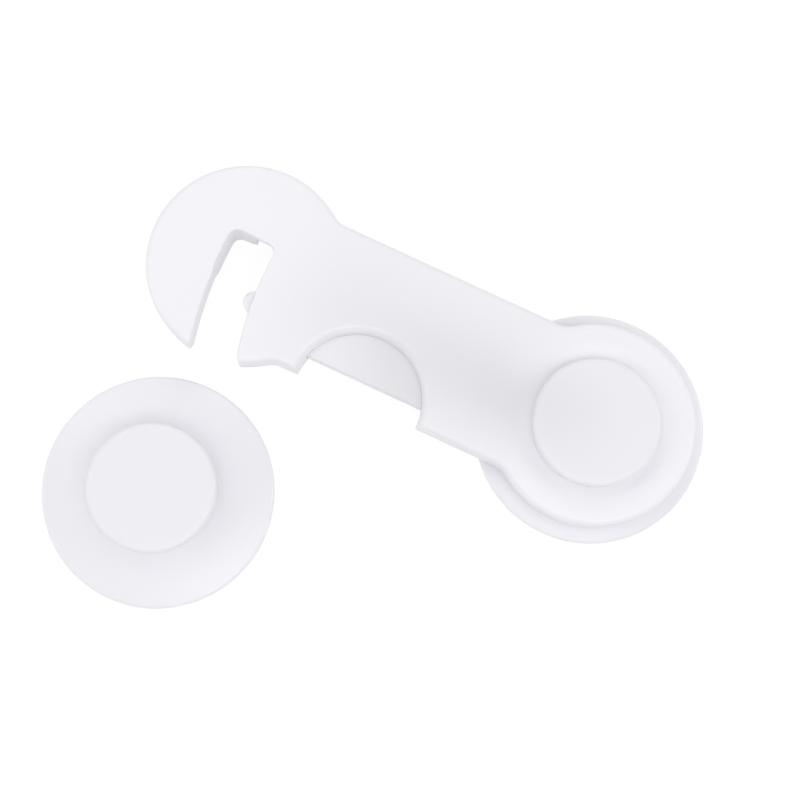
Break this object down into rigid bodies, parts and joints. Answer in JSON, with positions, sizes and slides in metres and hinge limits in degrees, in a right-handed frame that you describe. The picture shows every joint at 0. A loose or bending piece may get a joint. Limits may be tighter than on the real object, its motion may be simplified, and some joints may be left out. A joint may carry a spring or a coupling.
{
  "type": "cabinet safety lock",
  "caption": "Stick-on swing-arm safety lock: a flat arm turns on a round pivot base, and its hook, with a sprung release lever, closes round the neck of a separate mushroom strike.",
  "frame": {"origin": "on the arm's turning axis, in the plane of the surface that the lock is stuck to", "axes": "+X along the arm from the hook to the turning axis, +Y towards the arm's plain edge (the hook's mouth and the finger notch face -Y), +Z away from the surface"},
  "size_m": [0.103, 0.0815, 0.0124],
  "materials": {
    "white_plastic": "satin moulded ABS",
    "foam": "closed-cell adhesive foam",
    "liner": "silicone-coated release paper",
    "steel": "zinc-plated steel"
  },
  "bodies": {
    "pivot_station": {"pivot_liner": "liner", "pivot_foam_pad": "foam", "pivot_base": "white_plastic", "pivot_screw": "steel", "pivot_cap": "white_plastic"},
    "arm": {"arm_shell": "white_plastic", "arm_cover": "white_plastic", "cover_screw_hook": "steel", "cover_screw_bar": "steel", "cover_screw_pivot": "steel", "lever_spring": "steel"},
    "lever": {"release_lever": "white_plastic"},
    "strike": {"strike_liner": "liner", "strike_foam_pad": "foam", "strike_base": "white_plastic", "strike_screw": "steel", "strike_cap": "white_plastic"}
  },
  "joints": [
    {"name": "arm_swing", "type": "hinge", "parent": "pivot_station", "child": "arm", "pos_m": [0, 0, 0.0068], "axis": [0, 0, 1], "range_deg": [-300, 15]},
    {"name": "lever_press", "type": "hinge", "parent": "arm", "child": "lever", "pos_m": [-0.0655, 0.0105, 0.00675], "axis": [0, 0, 1], "range_deg": [0, 6], "stiffness_Nm_per_rad": 0.4, "springref_deg": -5.73, "deforming": ["lever_spring"]},
    {"name": "strike_slide", "type": "slide", "parent": "pivot_station", "child": "strike", "axis": [-0.04, 0.9992, 0], "range_m": [0, 0.02499]}
  ]
}
